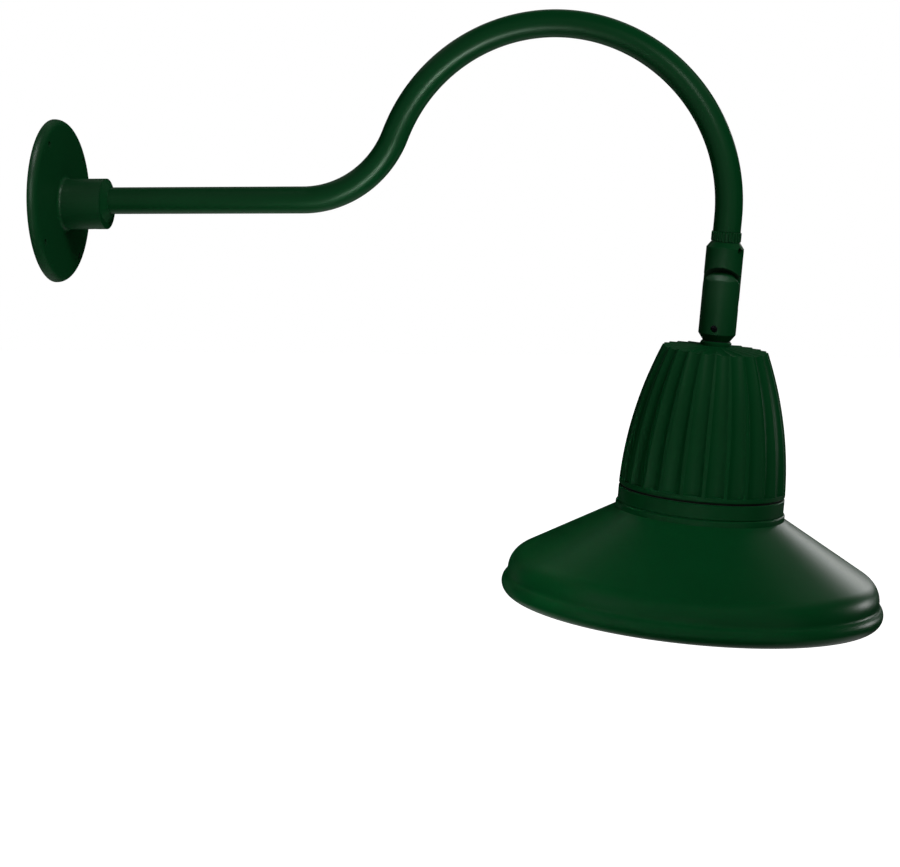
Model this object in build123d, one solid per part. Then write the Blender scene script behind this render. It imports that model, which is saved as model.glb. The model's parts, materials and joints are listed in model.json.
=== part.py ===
import os
from math import asin, atan2, cos, degrees, radians, sin, sqrt, tan
from build123d import *

# Gooseneck barn light, millimetres.
# Origin: centre of the wall plate's back face. +X out from the wall, +Z up.
# The head is drawn on its own axis with stations measured down from the arm's end,
# then leaned and moved to the end of the arm.

# Clearances
run_gap = 0.3
slip_gap = 0.05

# Arm tube
tube_d = 26.9
tube_wall = 2.6
arm_run = 259.8
bend1_r = 102.7
bend1_deg = 67.6
bend2_r = 170.8
lean_deg = 5.6
arm_drop = 13.4

# Wall plate and hub
plate_d = 164.6
plate_edge = 1.0
plate_round = 8.2
dome_deg = 3.5
plate_back = 6.0
plate_land = 5.0
bolt_pcd = 138.8
bolt_count = 4
bolt_hole_d = 6.6
bolt_turn_deg = 33.6
boss_d = 13.0
hub_d = 51.0
hub_drop = 3.2
hub_end = 54.4
hub_fillet = 3.5
hub_land = 8.0
nose_len = 5.1
nose_step = 0.4
nose_wall = 0.7
socket_floor = 14.0
wire_hole_d = 19.0
gasket_width = 17.0
earth_r = 40.0
earth_screw_d = 4.0
earth_head_h = 2.4
earth_bite = 3.4
earth_washer_t = 0.8

# Set screws
grub_d = 7.2
grub_len = 5.0
grub_hex = 4.0
grub_hex_start = 0.55
grub_sunk = 1.5
grub_reach = 16.0
arm_grub_x = 42.0

# Nipples and lock ring
nipple_d = 16.0
nipple_bore_d = 11.0
nipple_grip = 14.0
nipple_reach = 30.0
nipple_seat = 23.0
ring_d = 29.0
ring_h = 9.7
knurl_count = 28
knurl_d = 2.0
knurl_depth = 1.2
ring_chamfer = 0.8

# Swivel
swivel_d = 36.3
swivel_top_chamfer_r = 4.2
swivel_top_chamfer_h = 5.7
swivel_end_chamfer_r = 4.6
swivel_end_chamfer_h = 6.4
pivot_drop = 47.9
swivel_leg = 47.4
tongue_r = 19.5
knuckle_gap = 4.6
split_gap = 1.5
tilt_max_deg = 45.0
tongue_chamfer = 7.8
pivot_d = 8.0
pivot_head_d = 13.0
pivot_head_h = 4.0
pivot_seat = 12.0
pivot_washer_t = 1.0
gasket_inset = 1.7
race_d = 25.0
race_land_d = 13.0
race_depth = 6.0
gasket_land = 0.5
wireway_d = 7.0
wireway_y = 4.6
upper_grub_s = 18.0
upper_grub_deg = 61.0
lower_grub_s = 93.6
lower_grub_deg = -5.0

# Heat sink
neck_gasket_t = 0.8
neck_d = 27.4
neck_flare_d = 37.0
neck_h = 4.9
crown_drop = 2.4
sink_d = 162.4
sink_h = 141.0
sink_curve_r = 377.0
sink_widest_down = 9.2
sink_wall = 10.0
sink_roof = 7.0
sink_flange = 4.5
flute_count = 24
flute_r = 12.0
flute_deep = 4.5
flute_shallow = 1.7
flute_phase_deg = 7.8
flute_fade = 34.0
flute_runout = 2.0
edge_break = 0.8
ledge_d = 116.0
ledge_h = 10.0
nut_af = 24.0
nut_h = 6.5

# Light engine
engine_bore_d = 140.6
led_plate_d = 140.0
led_plate_t = 6.0
led_plate_up = 20.0
driver_d = 72.0
driver_h = 62.0
driver_foot_d = 92.0
driver_foot_t = 3.0
driver_round = 4.0
pad_d = 52.0
pad_t = 0.8
board_d = 50.0
board_t = 1.6
emitter_d = 20.0
emitter_t = 1.2
holder_d = 49.0
holder_bore_d = 23.0
holder_t = 3.0
reflector_t = 1.2
reflector_wall = 2.0
reflector_inset = 1.5
reflector_lip = 1.0
reflector_play = 0.5

# Collar, lens and shade
collar_gasket_t = 2.0
collar_gasket_d = 158.0
collar_d = 162.0
collar_h = 14.7
collar_bore_d = 140.0
collar_ledge_d = 124.0
collar_ledge_t = 3.0
collar_ledge_down = 1.8
lens_gasket_t = 1.2
lens_d = 139.0
lens_t = 4.0
lens_ring_d = 158.0
lens_ring_bore_d = 120.0
lens_ring_t = 3.5
sheet_t = 1.5
shade_hole_d = 140.0
lip_d = 165.2
lip_h = 6.0
lip_round = 1.6
cone_deg = 30.1
skirt_d = 364.2
shoulder_r = 23.0
skirt_h = 1.0
crease_r = 5.0
bead_r = 10.7
bead_inset = 5.7
bead_end_deg = 250.0

# Small screws
screw_d = 4.0
screw_head_d = 7.0
screw_head_h = 2.6
screw_hole_d = 4.4
screw_circle_d = 149.0
plate_screw_circle_d = 128.0
driver_screw_circle_d = 82.0
holder_screw_circle_d = 38.0
small_screw_d = 2.5
small_head_d = 4.5
small_head_h = 1.6
socket_width = 0.62
socket_depth = 0.6
driver_bite = 4.0
plate_bite = 7.0
holder_bite = 3.0
collar_bite = 9.0
ring_bite = 6.0
collar_seat = 4.5
tip_room = 1.0
over_cut = 1.0
collar_screw_count = 3
plate_screw_count = 4
ring_screw_count = 4
first_screw_deg = 45.0

# Stations down the head's axis
ring_s = run_gap
swivel_s = ring_s + ring_h + run_gap
pivot_s = swivel_s + pivot_drop
swivel_end_s = pivot_s + swivel_leg
neck_s = swivel_end_s + neck_gasket_t
sink_s = neck_s + neck_h
crown_s = sink_s + crown_drop
sink_end_s = sink_s + sink_h
widest_s = sink_end_s + sink_widest_down
collar_s = sink_end_s + collar_gasket_t
shade_s = collar_s + collar_h
plate_s = sink_end_s - led_plate_up
board_s = plate_s + led_plate_t + pad_t
holder_s = board_s + board_t
rim_s = collar_s + collar_ledge_down
lens_s = rim_s + collar_ledge_t + lens_gasket_t
ring_flange_s = shade_s + sheet_t
ring_seat_s = ring_flange_s + lens_ring_t
collar_seat_s = shade_s - collar_seat

# Arm path
turn1 = radians(bend1_deg)
lean = radians(lean_deg)
bend1_end = (arm_run + bend1_r * sin(turn1), bend1_r * (1 - cos(turn1)))
hook_c = (bend1_end[0] + bend2_r * sin(turn1), bend1_end[1] - bend2_r * cos(turn1))
bend2_end = (hook_c[0] + bend2_r * cos(lean), hook_c[1] - bend2_r * sin(lean))
arm_end = (bend2_end[0] - arm_drop * sin(lean), bend2_end[1] - arm_drop * cos(lean))
HEAD = Pos(arm_end[0], 0, arm_end[1]) * Rot(0, lean_deg, 0)

pieces = {}


def disc(d, s0, s1):
    return Pos(0, 0, -(s0 + s1) / 2) * Cylinder(d / 2, s1 - s0)


def hoop(d, bore, s0, s1):
    return disc(d, s0, s1) - disc(bore, s0 - over_cut, s1 + over_cut)


def cone(d0, d1, s0, s1):
    return Pos(0, 0, -(s0 + s1) / 2) * Cone(d1 / 2, d0 / 2, s1 - s0)


def around(x, y, s, deg):
    return Rot(0, 0, deg) * Pos(x, y, -s)


def bored(d, circle_d, s0, s1, deg):
    # A hole along the head's axis, on a screw circle
    return Rot(0, 0, deg) * Pos(circle_d / 2, 0, 0) * disc(d, s0, s1)


def collar_screw_deg(k):
    # The collar screws stand under ridges of the housing, where its wall is thick
    return flute_phase_deg + 360 / collar_screw_count * k


def plate_screw_deg(k):
    return first_screw_deg + 360 / plate_screw_count * k


def ring_screw_deg(k):
    return first_screw_deg + 360 / ring_screw_count * k


def hex_prism(across_flats, height):
    return extrude(RegularPolygon(across_flats / sqrt(3), 6), height)


def cap_screw(d, head_d, head_h, length):
    # Head below, shank up along +Z from the bearing face at z = 0
    head = Pos(0, 0, -head_h / 2) * Cylinder(head_d / 2, head_h)
    shank = Pos(0, 0, length / 2) * Cylinder(d / 2, length)
    socket = Pos(0, 0, -head_h) * hex_prism(d * socket_width, head_h * socket_depth)
    return head + shank - socket


def grub(length):
    # Flat tip at z = 0, hex socket in the outer end
    body = Pos(0, 0, length / 2) * Cylinder(grub_d / 2, length)
    return body - Pos(0, 0, length * grub_hex_start) * hex_prism(grub_hex, length)


# Wall plate: a thin dome with a rounded rim, and an eccentric hub with a conical nose
plate_r = plate_d / 2
dome = radians(dome_deg)
rim_end = (plate_edge + plate_round * cos(dome), plate_r - plate_round * (1 - sin(dome)))
dome_r = rim_end[1] / sin(dome)


def dome_x(r):
    return rim_end[0] - dome_r * cos(dome) + sqrt(dome_r**2 - r**2)


flat_r = hub_d / 2 + hub_drop + hub_land
plate_face = dome_x(flat_r)
nose_end = hub_end + nose_len


def wall_plate():
    rim_mid = (radians(90) + dome) / 2
    rim_mid = (plate_edge + plate_round * cos(rim_mid), plate_r - plate_round * (1 - sin(rim_mid)))
    dome_mid = (rim_end[1] + flat_r) / 2
    outline = [
        Line((0, 0), (0, plate_r)),
        Line((0, plate_r), (plate_edge, plate_r)),
        ThreePointArc((plate_edge, plate_r), rim_mid, rim_end),
        ThreePointArc(rim_end, (dome_x(dome_mid), dome_mid), (plate_face, flat_r)),
        Line((plate_face, flat_r), (plate_face, 0)),
        Line((plate_face, 0), (0, 0)),
    ]
    body = revolve(make_face(outline), axis=Axis.X)
    hub_len = hub_end - plate_face
    body += Pos(plate_face + hub_len / 2, 0, -hub_drop) * Rot(0, 90, 0) * Cylinder(hub_d / 2, hub_len)
    root = body.edges().filter_by(GeomType.CIRCLE)
    root = [q for q in root if abs(q.radius - hub_d / 2) < 0.01 and abs(q.center().X - plate_face) < 0.01]
    body = fillet(root, hub_fillet)
    nose = Cone(hub_d / 2 - hub_drop - nose_step, tube_d / 2 + nose_wall, nose_len)
    body += Pos(hub_end + nose_len / 2, 0, 0) * Rot(0, 90, 0) * nose
    hollow = Pos(plate_back / 2, 0, 0) * Rot(0, 90, 0) * Cylinder(plate_r - plate_land, plate_back)
    for k in range(bolt_count):
        boss = Rot(bolt_turn_deg + 360 / bolt_count * k, 0, 0) * Pos(plate_back / 2, bolt_pcd / 2, 0)
        hollow -= boss * Rot(0, 90, 0) * Cylinder(boss_d / 2, plate_back)
    body -= hollow
    for k in range(bolt_count):
        hole = Rot(bolt_turn_deg + 360 / bolt_count * k, 0, 0) * Pos(plate_face / 2, bolt_pcd / 2, 0)
        body -= hole * Rot(0, 90, 0) * Cylinder(bolt_hole_d / 2, plate_face * 2)
    socket_len = nose_end - socket_floor
    socket = Pos(socket_floor + socket_len / 2, 0, 0) * Rot(0, 90, 0)
    body -= socket * Cylinder(tube_d / 2 + slip_gap, socket_len)
    body -= Pos(socket_floor / 2, 0, 0) * Rot(0, 90, 0) * Cylinder(wire_hole_d / 2, socket_floor * 2)
    grub_hole_len = hub_d / 2 + hub_drop + 2 * over_cut
    body -= Pos(arm_grub_x, 0, -grub_hole_len / 2) * Cylinder(grub_d / 2, grub_hole_len)
    earth_hole_len = earth_bite + slip_gap
    body -= earth_place() * Pos(0, 0, earth_hole_len / 2) * Cylinder(earth_screw_d / 2, earth_hole_len)
    return body


def earth_place():
    return Pos(plate_back, earth_r, 0) * Rot(0, 90, 0)


def wall_gasket():
    outer = plate_r - plate_land - slip_gap
    ring = Cylinder(outer, plate_back) - Cylinder(outer - gasket_width, plate_back)
    ring = Pos(plate_back / 2, 0, 0) * Rot(0, 90, 0) * ring
    for k in range(bolt_count):
        boss = Rot(bolt_turn_deg + 360 / bolt_count * k, 0, 0) * Pos(plate_back / 2, bolt_pcd / 2, 0)
        ring -= boss * Rot(0, 90, 0) * Cylinder(boss_d / 2 + slip_gap, plate_back * 2)
    return ring


pieces["wall_plate"] = wall_plate()
pieces["wall_gasket"] = wall_gasket()
earth_washer = Cylinder(earth_screw_d, earth_washer_t)
earth_washer -= Cylinder(earth_screw_d / 2 + slip_gap, earth_washer_t)
pieces["earth_washer"] = earth_place() * Pos(0, 0, -earth_washer_t / 2) * earth_washer
earth_screw = cap_screw(earth_screw_d, screw_head_d, earth_head_h, earth_washer_t + earth_bite)
pieces["earth_screw"] = earth_place() * Pos(0, 0, -earth_washer_t) * earth_screw
arm_grub_len = hub_d / 2 + hub_drop - tube_d / 2 - grub_sunk
pieces["arm_set_screw"] = Pos(arm_grub_x, 0, -tube_d / 2) * Rot(180, 0, 0) * grub(arm_grub_len)


# Gooseneck arm
def gooseneck_arm():
    half1 = turn1 / 2
    mid1 = (arm_run + bend1_r * sin(half1), bend1_r * (1 - cos(half1)))
    hook_mid = radians(90 + bend1_deg - lean_deg) / 2
    mid2 = (hook_c[0] + bend2_r * cos(hook_mid), hook_c[1] + bend2_r * sin(hook_mid))
    run = Line((socket_floor, 0), (arm_run, 0))
    bend1 = ThreePointArc((arm_run, 0), mid1, bend1_end)
    bend2 = ThreePointArc(bend1_end, mid2, bend2_end)
    drop = Line(bend2_end, arm_end)
    path = Plane.XZ * Wire([run.edge(), bend1.edge(), bend2.edge(), drop.edge()])
    start = Plane(origin=(socket_floor, 0, 0), x_dir=(0, 1, 0), z_dir=(1, 0, 0))
    section = Circle(tube_d / 2) - Circle(tube_d / 2 - tube_wall)
    return sweep(start * section, path=path)


tube_bore = tube_d - 2 * tube_wall
pieces["gooseneck_arm"] = gooseneck_arm()
pieces["arm_insert"] = HEAD * hoop(tube_bore, nipple_d, -nipple_grip, 0)
pieces["arm_nipple"] = HEAD * hoop(nipple_d, nipple_bore_d, -nipple_grip, nipple_reach)


# Knurled lock ring
def lock_ring():
    body = hoop(ring_d, nipple_d + 2 * run_gap, ring_s, ring_s + ring_h)
    body = chamfer(body.edges().filter_by(GeomType.CIRCLE).sort_by(SortBy.RADIUS)[-2:], ring_chamfer)
    groove_circle = ring_d + knurl_d - 2 * knurl_depth
    s0 = ring_s - over_cut
    s1 = ring_s + ring_h + over_cut
    return body - [bored(knurl_d, groove_circle, s0, s1, 360 / knurl_count * k) for k in range(knurl_count)]


pieces["lock_ring"] = HEAD * lock_ring()


# Swivel: two lapped halves on a cross screw
def knuckle_cut(up):
    # Room for the other half's tongue over the whole tilt, on one side of the split
    r = tongue_r + knuckle_gap
    t = radians(tilt_max_deg)
    far = 3 * swivel_d
    side_r = swivel_d / 2 + run_gap
    p1 = (side_r * cos(t), side_r * sin(t))
    p2 = (p1[0] + far * sin(t), p1[1] - far * cos(t))
    right = [p1, p2, (p2[0], -far)]
    left = [(-x, y) for x, y in reversed(right)]
    shape = Circle(r) + make_face(Polyline(*right, *left, close=True))
    solid = extrude(shape, swivel_d)
    # Drawn in X-Y, stood up so that the shape's Y is +Z and its depth runs to -Y
    solid = Pos(0, split_gap / 2, 0) * Rot(90, 0, 0) * solid
    if not up:
        solid = Rot(180, 0, 0) * solid
    return Pos(0, 0, -pivot_s) * solid


def tongue_trim(up):
    # What lies outside the rounded end of a tongue, past the pivot
    wide = 3 * swivel_d
    block = Pos(0, 0, -wide / 2) * Box(wide, wide, wide)
    block -= Rot(90, 0, 0) * Cylinder(tongue_r, wide)
    if not up:
        block = Rot(180, 0, 0) * block
    return Pos(0, 0, -pivot_s) * block


def grub_place(s, deg, reach):
    return Pos(0, 0, -s) * Rot(0, 0, deg) * Pos(0, -reach, 0) * Rot(90, 0, 0)


def grub_hole(s, deg):
    return grub_place(s, deg, nipple_d / 2) * Pos(0, 0, grub_reach / 2) * Cylinder(grub_d / 2, grub_reach)


def pivot_hole(d, y0, y1):
    return Pos(0, (y0 + y1) / 2, -pivot_s) * Rot(90, 0, 0) * Cylinder(d / 2, abs(y1 - y0))


def race(y0, y1):
    return pivot_hole(race_d, y0, y1) - pivot_hole(race_land_d, y0, y1)


def swivel_upper():
    top_d = swivel_d - 2 * swivel_top_chamfer_r
    body = cone(top_d, swivel_d, swivel_s, swivel_s + swivel_top_chamfer_h)
    body += disc(swivel_d, swivel_s + swivel_top_chamfer_h, pivot_s + tongue_r)
    body -= tongue_trim(True)
    body -= knuckle_cut(True)
    body -= disc(nipple_d + 2 * run_gap, swivel_s - over_cut, nipple_reach + tip_room)
    body -= Pos(0, wireway_y, 0) * disc(wireway_d, nipple_reach, pivot_s - race_land_d / 2 - over_cut)
    body -= race(split_gap / 2, split_gap / 2 + race_depth)
    body -= pivot_hole(pivot_d + 2 * run_gap, 0, swivel_d)
    body -= pivot_hole(pivot_head_d + 4 * run_gap, pivot_seat, swivel_d)
    body -= grub_hole(upper_grub_s, upper_grub_deg)
    return body


def swivel_lower():
    end_d = swivel_d - 2 * swivel_end_chamfer_r
    body = cone(swivel_d, end_d, swivel_end_s - swivel_end_chamfer_h, swivel_end_s)
    body += disc(swivel_d, pivot_s - tongue_r, swivel_end_s - swivel_end_chamfer_h)
    body -= tongue_trim(False)
    body -= knuckle_cut(False)
    front = swivel_d / 2
    crown = Pos(0, 0, swivel_d / 2) * Box(2 * swivel_d, 2 * swivel_d, swivel_d)
    crown &= Pos(0, -front + tongue_chamfer / 2, 0) * Box(2 * swivel_d, tongue_chamfer, 2 * swivel_d)
    taper = Rot(90, 0, 0) * Cone(tongue_r, tongue_r - tongue_chamfer, tongue_chamfer)
    crown -= Pos(0, -front + tongue_chamfer / 2, 0) * taper
    body -= Pos(0, 0, -pivot_s) * crown
    seat_s = swivel_end_s - nipple_seat
    body -= disc(nipple_d + 2 * slip_gap, seat_s - tip_room, swivel_end_s + over_cut)
    body -= Pos(0, -wireway_y, 0) * disc(wireway_d, pivot_s + race_land_d / 2 + over_cut, seat_s)
    body -= race(-split_gap / 2, -split_gap / 2 - race_depth)
    body -= pivot_hole(pivot_d, 0, -pivot_seat - slip_gap)
    body -= grub_hole(lower_grub_s, lower_grub_deg)
    return body


def pivot_screw():
    washer_y = pivot_seat + run_gap
    seat_y = washer_y + pivot_washer_t
    screw = cap_screw(pivot_d, pivot_head_d, pivot_head_h, seat_y + pivot_seat)
    return Pos(0, seat_y, -pivot_s) * Rot(90, 0, 0) * screw


def pivot_washer():
    y = pivot_seat + run_gap + pivot_washer_t / 2
    ring = Cylinder(pivot_head_d / 2, pivot_washer_t) - Cylinder(pivot_d / 2 + slip_gap, pivot_washer_t)
    return Pos(0, y, -pivot_s) * Rot(90, 0, 0) * ring


def knuckle_gasket():
    thick = split_gap - run_gap
    ring = Cylinder(swivel_d / 2 - gasket_inset, thick) - Cylinder(race_d / 2 + gasket_land, thick)
    return Pos(0, -split_gap / 2 + thick / 2, -pivot_s) * Rot(90, 0, 0) * ring


pieces["swivel_upper"] = HEAD * swivel_upper()
upper_tip = nipple_d / 2 + run_gap
pieces["upper_set_screw"] = HEAD * grub_place(upper_grub_s, upper_grub_deg, upper_tip) * grub(grub_len)
pieces["swivel_lower"] = HEAD * swivel_lower()
lower_tip = nipple_d / 2 + slip_gap
pieces["lower_set_screw"] = HEAD * grub_place(lower_grub_s, lower_grub_deg, lower_tip) * grub(grub_len)
pieces["pivot_screw"] = HEAD * pivot_screw()
pieces["pivot_washer"] = HEAD * pivot_washer()
pieces["knuckle_gasket"] = HEAD * knuckle_gasket()
neck_bore = nipple_d + 2 * slip_gap
pieces["neck_gasket"] = HEAD * hoop(neck_d - 1, neck_bore, swivel_end_s, neck_s)


# Fluted heat sink housing
def sink_r(s):
    return sink_d / 2 - sink_curve_r + sqrt(sink_curve_r**2 - (widest_s - s)**2)


def flute_centre(s, depth):
    # Centre of the flute's round section, square off the housing's curve
    slope = asin((widest_s - s) / sink_curve_r)
    off = flute_r - depth
    return (sink_r(s) + off * cos(slope), -s + off * sin(slope))


def flute():
    low = flute_centre(sink_end_s - sink_flange, flute_deep)
    mid = flute_centre((crown_s + sink_end_s) / 2, (flute_deep + flute_shallow) / 2)
    top = flute_centre(crown_s - flute_r, flute_shallow)
    path = Plane.XZ * ThreePointArc(low, mid, top)
    start = Plane(origin=path @ 0, x_dir=(0, 1, 0), z_dir=path % 0)
    return sweep(start * Circle(flute_r), path=path)


def crown_flute():
    # Carries a flute over the housing's upper edge and lets it fade out on the crown
    rim_r = sink_r(crown_s)
    slope = atan2(crown_drop, rim_r - neck_flare_d / 2)
    rise = slope + atan2(flute_shallow, flute_fade)
    off = flute_r - flute_shallow
    at = (rim_r + off * sin(slope), 0, -crown_s + off * cos(slope))
    return Plane(origin=at, z_dir=(-cos(rise), 0, sin(rise))) * Cylinder(flute_r, 2 * (flute_fade + flute_runout))


def heat_sink():
    roof_s = sink_s + sink_roof
    ledge_s = plate_s - ledge_h
    low_s = sink_end_s - edge_break
    mid_s = (crown_s + low_s) / 2
    flare = neck_flare_d / 2
    neck_r = neck_d / 2
    bore_r = neck_bore / 2
    in_mid = (roof_s + ledge_s) / 2
    outline = [
        Line((bore_r, -neck_s), (neck_r, -neck_s)),
        Line((neck_r, -neck_s), (flare, -sink_s)),
        Line((flare, -sink_s), (sink_r(crown_s), -crown_s)),
        ThreePointArc((sink_r(crown_s), -crown_s), (sink_r(mid_s), -mid_s), (sink_r(low_s), -low_s)),
        Line((sink_r(low_s), -low_s), (sink_r(low_s) - edge_break, -sink_end_s)),
        Line((sink_r(low_s) - edge_break, -sink_end_s), (engine_bore_d / 2, -sink_end_s)),
        Line((engine_bore_d / 2, -sink_end_s), (engine_bore_d / 2, -plate_s)),
        Line((engine_bore_d / 2, -plate_s), (ledge_d / 2, -plate_s)),
        Line((ledge_d / 2, -plate_s), (ledge_d / 2, -ledge_s)),
        Line((ledge_d / 2, -ledge_s), (sink_r(ledge_s) - sink_wall, -ledge_s)),
        ThreePointArc((sink_r(ledge_s) - sink_wall, -ledge_s), (sink_r(in_mid) - sink_wall, -in_mid),
                      (sink_r(roof_s) - sink_wall, -roof_s)),
        Line((sink_r(roof_s) - sink_wall, -roof_s), (bore_r, -roof_s)),
        Line((bore_r, -roof_s), (bore_r, -neck_s)),
    ]
    body = revolve(Plane.XZ * make_face(outline), axis=Axis.Z)
    half_pitch = 180 / flute_count
    first = -90 + flute_phase_deg + half_pitch
    for cutter in (flute(), crown_flute()):
        body -= [Rot(0, 0, first + 2 * half_pitch * k) * cutter for k in range(flute_count)]
    for k in range(plate_screw_count):
        tip_s = plate_s - plate_bite - tip_room
        body -= bored(screw_d, plate_screw_circle_d, tip_s, plate_s + over_cut, plate_screw_deg(k))
    for k in range(collar_screw_count):
        tip_s = sink_end_s - collar_bite - tip_room
        body -= bored(screw_d, screw_circle_d, tip_s, sink_end_s + over_cut, collar_screw_deg(k))
    return body


pieces["heat_sink"] = HEAD * heat_sink()
nut_s = sink_s + sink_roof
nipple_end_s = nut_s + nut_h + tip_room
pieces["head_nipple"] = HEAD * hoop(nipple_d, nipple_bore_d, swivel_end_s - nipple_seat, nipple_end_s)
nut = Pos(0, 0, -nut_s - nut_h) * hex_prism(nut_af, nut_h)
pieces["nipple_nut"] = HEAD * (nut - disc(nipple_d, nut_s - over_cut, nut_s + nut_h + over_cut))


# Driver and light engine
def driver_case():
    body = disc(driver_d, plate_s - driver_h, plate_s)
    body = fillet(body.edges().sort_by(Axis.Z)[-1], driver_round)
    foot_s = plate_s - driver_foot_t
    body += disc(driver_foot_d, foot_s, plate_s)
    for k in range(2):
        body -= bored(screw_hole_d, driver_screw_circle_d, foot_s - over_cut, plate_s + over_cut, 180 * k)
    return body


def led_plate():
    low_s = plate_s + led_plate_t
    body = disc(led_plate_d, plate_s, low_s)
    for k in range(plate_screw_count):
        s0 = plate_s - over_cut
        body -= bored(screw_hole_d, plate_screw_circle_d, s0, low_s + over_cut, plate_screw_deg(k))
    for k in range(2):
        tip_s = plate_s + driver_bite + tip_room
        body -= bored(screw_d, driver_screw_circle_d, plate_s - over_cut, tip_s, 180 * k)
    for k in range(2):
        tip_s = low_s - holder_bite - tip_room
        body -= bored(small_screw_d, holder_screw_circle_d, tip_s, low_s + over_cut, holder_screw_deg(k))
    return body


def holder_screw_deg(k):
    return 90 + 180 * k


def drilled(d, s0, s1):
    # A disc with the two holes for the holder's screws
    body = disc(d, s0, s1)
    hole_d = small_screw_d + 2 * slip_gap
    for k in range(2):
        body -= bored(hole_d, holder_screw_circle_d, s0 - over_cut, s1 + over_cut, holder_screw_deg(k))
    return body


def led_holder():
    low_s = holder_s + holder_t
    body = drilled(holder_d, holder_s, low_s)
    body -= disc(holder_bore_d, holder_s - over_cut, low_s + over_cut)
    seat_d = small_head_d + 2 * slip_gap
    for k in range(2):
        seat_s = low_s - small_head_h
        body -= bored(seat_d, holder_screw_circle_d, seat_s, low_s + over_cut, holder_screw_deg(k))
    return body


pieces["driver_case"] = HEAD * driver_case()
pieces["led_plate"] = HEAD * led_plate()
for k in range(2):
    screw = Rot(180, 0, 0) * cap_screw(screw_d, screw_head_d, screw_head_h, driver_foot_t + driver_bite)
    place = around(driver_screw_circle_d / 2, 0, plate_s - driver_foot_t, 180 * k)
    pieces[f"driver_screw_{k + 1}"] = HEAD * place * screw
for k in range(plate_screw_count):
    screw = cap_screw(screw_d, screw_head_d, screw_head_h, led_plate_t + plate_bite)
    place = around(plate_screw_circle_d / 2, 0, plate_s + led_plate_t, plate_screw_deg(k))
    pieces[f"led_plate_screw_{k + 1}"] = HEAD * place * screw
pieces["thermal_pad"] = HEAD * drilled(pad_d, plate_s + led_plate_t, board_s)
pieces["led_board"] = HEAD * drilled(board_d, board_s, holder_s)
pieces["led_emitter"] = HEAD * disc(emitter_d, holder_s, holder_s + emitter_t)
pieces["led_holder"] = HEAD * led_holder()
holder_seat_s = holder_s + holder_t - small_head_h
for k in range(2):
    length = holder_seat_s - board_s + pad_t + holder_bite
    screw = cap_screw(small_screw_d, small_head_d, small_head_h, length)
    place = around(holder_screw_circle_d / 2, 0, holder_seat_s, holder_screw_deg(k))
    pieces[f"led_holder_screw_{k + 1}"] = HEAD * place * screw


def reflector():
    top_r = holder_bore_d / 2 + reflector_wall
    top_s = holder_s + holder_t
    low_r = collar_ledge_d / 2 - reflector_inset
    flange_r = collar_bore_d / 2 - reflector_play
    pts = [
        (top_r, top_s),
        (top_r + reflector_wall, top_s),
        (low_r + reflector_lip, rim_s - reflector_t),
        (flange_r, rim_s - reflector_t),
        (flange_r, rim_s),
        (low_r, rim_s),
    ]
    profile = make_face(Polyline(*[(r, -s) for r, s in pts], close=True))
    return revolve(Plane.XZ * profile, axis=Axis.Z)


pieces["reflector"] = HEAD * reflector()


# Collar and lens
def shade_collar():
    body = hoop(collar_d, collar_ledge_d, collar_s, shade_s)
    body = chamfer(body.edges().filter_by(GeomType.CIRCLE).sort_by(SortBy.RADIUS)[-2:], edge_break)
    low_s = shade_s + over_cut
    body -= disc(collar_bore_d, collar_s - over_cut, rim_s)
    body -= disc(collar_bore_d, rim_s + collar_ledge_t, low_s)
    seat_d = screw_head_d + 2 * run_gap
    for k in range(collar_screw_count):
        body -= bored(screw_hole_d, screw_circle_d, collar_s - over_cut, low_s, collar_screw_deg(k))
        body -= bored(seat_d, screw_circle_d, collar_seat_s, low_s, collar_screw_deg(k))
    for k in range(ring_screw_count):
        tip_s = shade_s - ring_bite - tip_room
        body -= bored(screw_d, screw_circle_d, tip_s, low_s, ring_screw_deg(k))
    return body


def collar_gasket():
    body = hoop(collar_gasket_d, engine_bore_d, sink_end_s, collar_s)
    for k in range(collar_screw_count):
        s0 = sink_end_s - over_cut
        body -= bored(screw_hole_d, screw_circle_d, s0, collar_s + over_cut, collar_screw_deg(k))
    return body


def lens_ring():
    body = hoop(lens_ring_d, lens_ring_bore_d, ring_flange_s, ring_seat_s)
    body += hoop(lens_d, collar_ledge_d, lens_s + lens_t, ring_flange_s)
    for k in range(ring_screw_count):
        s0 = ring_flange_s - over_cut
        body -= bored(screw_hole_d, screw_circle_d, s0, ring_seat_s + over_cut, ring_screw_deg(k))
    return body


pieces["collar_gasket"] = HEAD * collar_gasket()
pieces["shade_collar"] = HEAD * shade_collar()
for k in range(collar_screw_count):
    screw = cap_screw(screw_d, screw_head_d, screw_head_h, collar_seat_s - sink_end_s + collar_bite)
    place = around(screw_circle_d / 2, 0, collar_seat_s, collar_screw_deg(k))
    pieces[f"collar_screw_{k + 1}"] = HEAD * place * screw
pieces["lens_gasket"] = HEAD * hoop(lens_d, collar_ledge_d, rim_s + collar_ledge_t, lens_s)
pieces["lens_glass"] = HEAD * disc(lens_d, lens_s, lens_s + lens_t)
pieces["lens_ring"] = HEAD * lens_ring()
for k in range(ring_screw_count):
    screw = cap_screw(screw_d, screw_head_d, screw_head_h, ring_seat_s - shade_s + ring_bite)
    place = around(screw_circle_d / 2, 0, ring_seat_s, ring_screw_deg(k))
    pieces[f"lens_ring_screw_{k + 1}"] = HEAD * place * screw


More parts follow.
